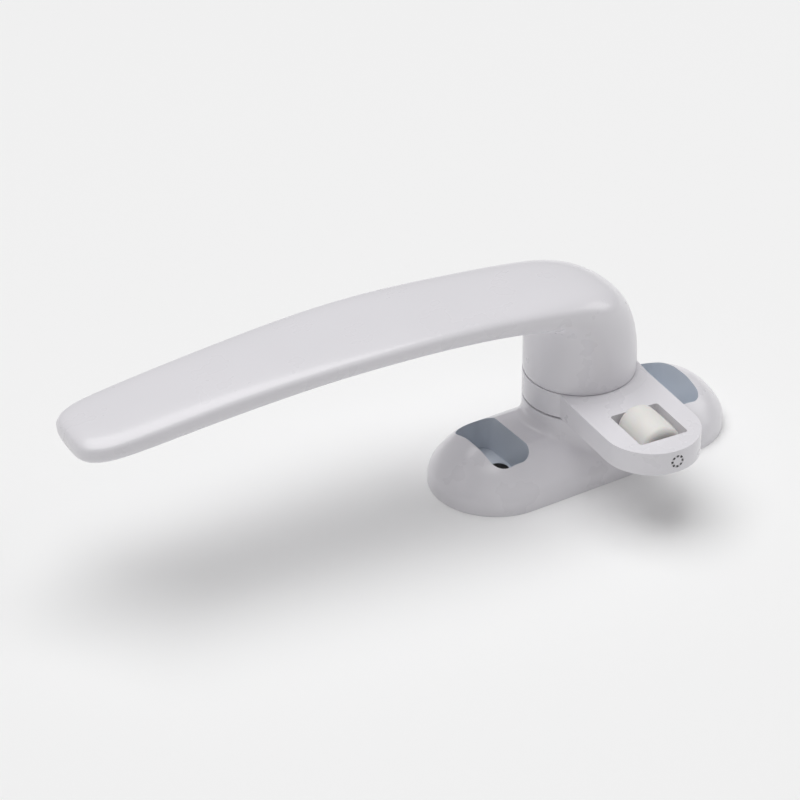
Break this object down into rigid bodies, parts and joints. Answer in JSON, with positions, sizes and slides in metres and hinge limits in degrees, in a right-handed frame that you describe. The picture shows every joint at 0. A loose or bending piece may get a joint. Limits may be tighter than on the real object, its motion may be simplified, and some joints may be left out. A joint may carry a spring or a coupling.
{
  "type": "casement window handle",
  "caption": "Casement window handle: a domed oblong base, a turning lever with a round hub, and a cam plate with a roller that rides over the keeper.",
  "frame": {"origin": "centre of the base's mounting face, under the spindle", "axes": "+Z along the spindle, away from the sash; X along the base, the lever pointing nearly to -X; the cam's tongue points nearly to -Y"},
  "size_m": [0.1573, 0.0583, 0.0485],
  "materials": {
    "white_coat": "gloss",
    "steel": "satin",
    "nylon": "satin",
    "black_plastic": "satin"
  },
  "bodies": {
    "base": {"base_housing": "white_coat", "spindle_bush": "black_plastic", "thrust_washer": "black_plastic"},
    "handle": {"handle_lever": "white_coat", "cam_plate": "white_coat", "roller_pin": "steel", "drive_spindle": "steel", "disc_spring": "steel", "stop_washer": "steel", "end_washer": "steel", "end_screw": "steel"},
    "roller": {"cam_roller": "nylon"}
  },
  "joints": [
    {"name": "handle_turn", "type": "hinge", "parent": "base", "child": "handle", "pos_m": [0, 0, 0.01], "axis": [0, 0, 1], "range_deg": [-85.3, 4.7]},
    {"name": "roller_spin", "type": "hinge", "parent": "handle", "child": "roller", "pos_m": [-0.00052, -0.02645, 0.01858], "axis": [-0.0819, -0.9966, 0], "continuous": true}
  ]
}
